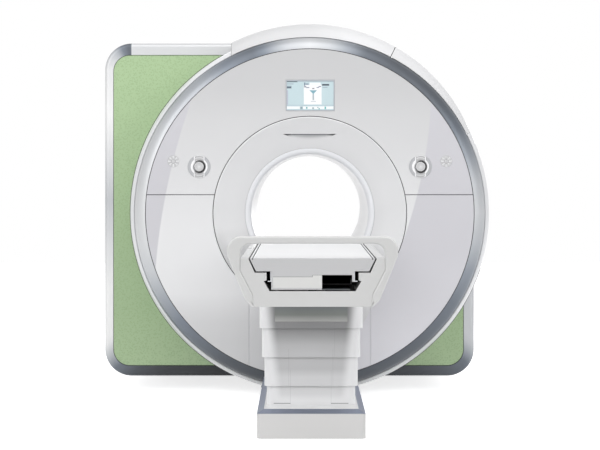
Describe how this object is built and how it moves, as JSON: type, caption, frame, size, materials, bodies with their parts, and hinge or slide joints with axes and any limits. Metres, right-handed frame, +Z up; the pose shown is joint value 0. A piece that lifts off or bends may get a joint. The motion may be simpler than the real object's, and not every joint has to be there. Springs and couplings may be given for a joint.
{
  "type": "mri scanner",
  "caption": "Wide-bore magnetic resonance scanner: round front drum with display and controls, square coloured body, and a patient table on a telescopic column.",
  "frame": {"origin": "on the floor straight below the centre of the bore", "axes": "+Y from the patient table into the bore, +X to the right as seen from the table's foot end, +Z up"},
  "size_m": [2.345, 4.283, 2.235],
  "materials": {
    "steel_frame": "satin",
    "vessel_steel": "satin",
    "shield_aluminium": "satin",
    "rod_composite": "matte",
    "coil_winding": "satin",
    "gradient_epoxy": "matte",
    "rf_composite": "matte",
    "cold_head_metal": "satin",
    "tunnel_white": "semi-gloss",
    "cover_white": "semi-gloss",
    "laser_glass": "gloss",
    "bezel_silver": "polished",
    "frame_silver": "satin",
    "panel_green": "semi-gloss",
    "display_grey": "satin",
    "display_glass": "gloss",
    "grille_white": "matte",
    "control_grey": "satin",
    "knob_grey": "semi-gloss",
    "key_white": "semi-gloss",
    "base_white": "satin",
    "trim_metal": "satin",
    "sleeve_white": "semi-gloss",
    "stage_steel": "satin",
    "table_white": "semi-gloss",
    "tabletop_white": "semi-gloss",
    "bracket_steel": "satin",
    "belt_rubber": "matte",
    "pulley_metal": "satin",
    "motor_grey": "satin"
  },
  "bodies": {
    "scanner": {"magnet_base": "steel_frame", "cryostat_vessel": "vessel_steel", "cryostat_front_flange": "vessel_steel", "helium_vessel": "vessel_steel", "service_turret": "vessel_steel", "thermal_shield": "shield_aluminium", "coil_former": "shield_aluminium", "suspension_rods": "rod_composite", "main_coils": "coil_winding", "gradient_coil": "gradient_epoxy", "rf_body_coil": "rf_composite", "cold_head": "cold_head_metal", "bore_liner": "tunnel_white", "front_bore_ring": "tunnel_white", "front_funnel_cover": "cover_white", "upper_face_panel": "cover_white", "lower_face_panel_left": "cover_white", "lower_face_panel_center": "cover_white", "lower_face_panel_right": "cover_white", "drum_band": "cover_white", "drum_top_cover": "cover_white", "drum_shoulder_cover": "cover_white", "body_shell": "cover_white", "rear_cover": "cover_white", "rear_funnel_cover": "cover_white", "laser_window": "laser_glass", "bezel_ring": "bezel_silver", "body_frame_ring": "frame_silver", "green_panel_left": "panel_green", "green_panel_right": "panel_green", "display_bezel": "display_grey", "display_screen": "display_glass", "speaker_grilles": "grille_white", "control_housing_left": "control_grey", "control_housing_right": "control_grey", "table_base": "base_white", "base_trim": "trim_metal", "column_sleeve_4": "sleeve_white", "lift_stage_lower": "stage_steel"},
    "table_carriage": {"column_sleeve_1": "sleeve_white", "lift_stage_upper": "stage_steel", "table_body": "table_white", "table_side_covers": "table_white", "loop_handle": "table_white", "drive_belt": "belt_rubber", "drive_motor": "motor_grey"},
    "second_sleeve": {"column_sleeve_2": "sleeve_white"},
    "third_sleeve": {"column_sleeve_3": "sleeve_white"},
    "middle_stage": {"lift_stage_middle": "stage_steel"},
    "patient_top": {"tabletop": "tabletop_white", "foot_end_cover": "table_white", "hold_down_brackets": "bracket_steel"},
    "foot_pulley": {"drive_pulley": "pulley_metal"},
    "head_pulley": {"idle_pulley": "pulley_metal"},
    "left_knob": {"control_knob_left": "knob_grey"},
    "right_knob": {"control_knob_right": "knob_grey"},
    "left_up_key": {"up_key_left": "key_white"},
    "left_down_key": {"down_key_left": "key_white"},
    "right_up_key": {"up_key_right": "key_white"},
    "right_down_key": {"down_key_right": "key_white"}
  },
  "joints": [
    {"name": "table_lift", "type": "slide", "parent": "scanner", "child": "table_carriage", "axis": [0, 0, 1], "range_m": [-0.37, 0]},
    {"name": "second_sleeve_lift", "type": "slide", "parent": "scanner", "child": "second_sleeve", "axis": [0, 0, 1], "range_m": [-0.24, 0]},
    {"name": "third_sleeve_lift", "type": "slide", "parent": "scanner", "child": "third_sleeve", "axis": [0, 0, 1], "range_m": [-0.095, 0]},
    {"name": "middle_stage_lift", "type": "slide", "parent": "scanner", "child": "middle_stage", "axis": [0, 0, 1], "range_m": [-0.186, 0]},
    {"name": "tabletop_slide", "type": "slide", "parent": "table_carriage", "child": "patient_top", "axis": [0, 1, 0], "range_m": [0, 2]},
    {"name": "foot_pulley_spin", "type": "hinge", "parent": "table_carriage", "child": "foot_pulley", "pos_m": [0, -3.24, 0.785], "axis": [1, 0, 0], "range_deg": [-4800, 10]},
    {"name": "head_pulley_spin", "type": "hinge", "parent": "table_carriage", "child": "head_pulley", "pos_m": [0, -1.06, 0.785], "axis": [1, 0, 0], "range_deg": [-4800, 10]},
    {"name": "left_knob_turn", "type": "hinge", "parent": "scanner", "child": "left_knob", "pos_m": [-0.65699, -0.86, 1.37604], "axis": [0, 1, 0], "range_deg": [-45, 45], "stiffness_Nm_per_rad": 0.05},
    {"name": "right_knob_turn", "type": "hinge", "parent": "scanner", "child": "right_knob", "pos_m": [0.65699, -0.86, 1.37604], "axis": [0, 1, 0], "range_deg": [-45, 45], "stiffness_Nm_per_rad": 0.05},
    {"name": "left_up_key_press", "type": "slide", "parent": "scanner", "child": "left_up_key", "axis": [0, 1, 0], "range_m": [0, 0.0025], "stiffness_N_per_m": 600, "springref_m": -0.001},
    {"name": "left_down_key_press", "type": "slide", "parent": "scanner", "child": "left_down_key", "axis": [0, 1, 0], "range_m": [0, 0.0025], "stiffness_N_per_m": 600, "springref_m": -0.001},
    {"name": "right_up_key_press", "type": "slide", "parent": "scanner", "child": "right_up_key", "axis": [0, 1, 0], "range_m": [0, 0.0025], "stiffness_N_per_m": 600, "springref_m": -0.001},
    {"name": "right_down_key_press", "type": "slide", "parent": "scanner", "child": "right_down_key", "axis": [0, 1, 0], "range_m": [0, 0.0025], "stiffness_N_per_m": 600, "springref_m": -0.001}
  ],
  "couplings": [
    {"joint": "second_sleeve_lift", "follows": "table_lift", "ratio": 0.63},
    {"joint": "third_sleeve_lift", "follows": "table_lift", "ratio": 0.25},
    {"joint": "middle_stage_lift", "follows": "table_lift", "ratio": 0.5},
    {"joint": "foot_pulley_spin", "follows": "tabletop_slide", "rad_per_m": -41.152},
    {"joint": "head_pulley_spin", "follows": "tabletop_slide", "rad_per_m": -41.152}
  ]
}
